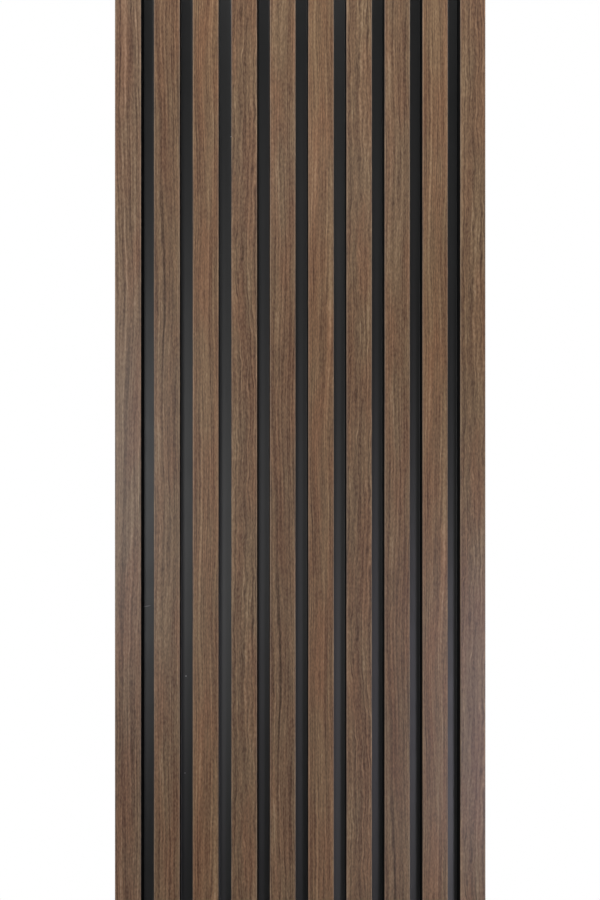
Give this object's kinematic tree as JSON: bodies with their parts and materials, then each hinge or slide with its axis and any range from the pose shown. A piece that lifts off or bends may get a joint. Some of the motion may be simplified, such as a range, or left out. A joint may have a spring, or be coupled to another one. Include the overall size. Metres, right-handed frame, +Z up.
{
  "type": "slat wall panel",
  "caption": "Wall panel of upright walnut-faced slats with black grooves between them, made of interlocking slatted boards and an end trim.",
  "frame": {"origin": "middle of the panel's back, where it lies on the wall", "axes": "+Z up along the slats, X across them, the slats' fronts face -Y and the back faces +Y, towards the wall"},
  "size_m": [0.3932, 0.021, 2.65],
  "materials": {
    "walnut_film": "satin walnut-print film on the slats' fronts and black film in the grooves, over a dark foamed core"
  },
  "bodies": {
    "root": {"end_trim": "walnut_film", "slat_board_1": "walnut_film", "slat_board_2": "walnut_film", "slat_board_3": "walnut_film"}
  },
  "joints": []
}
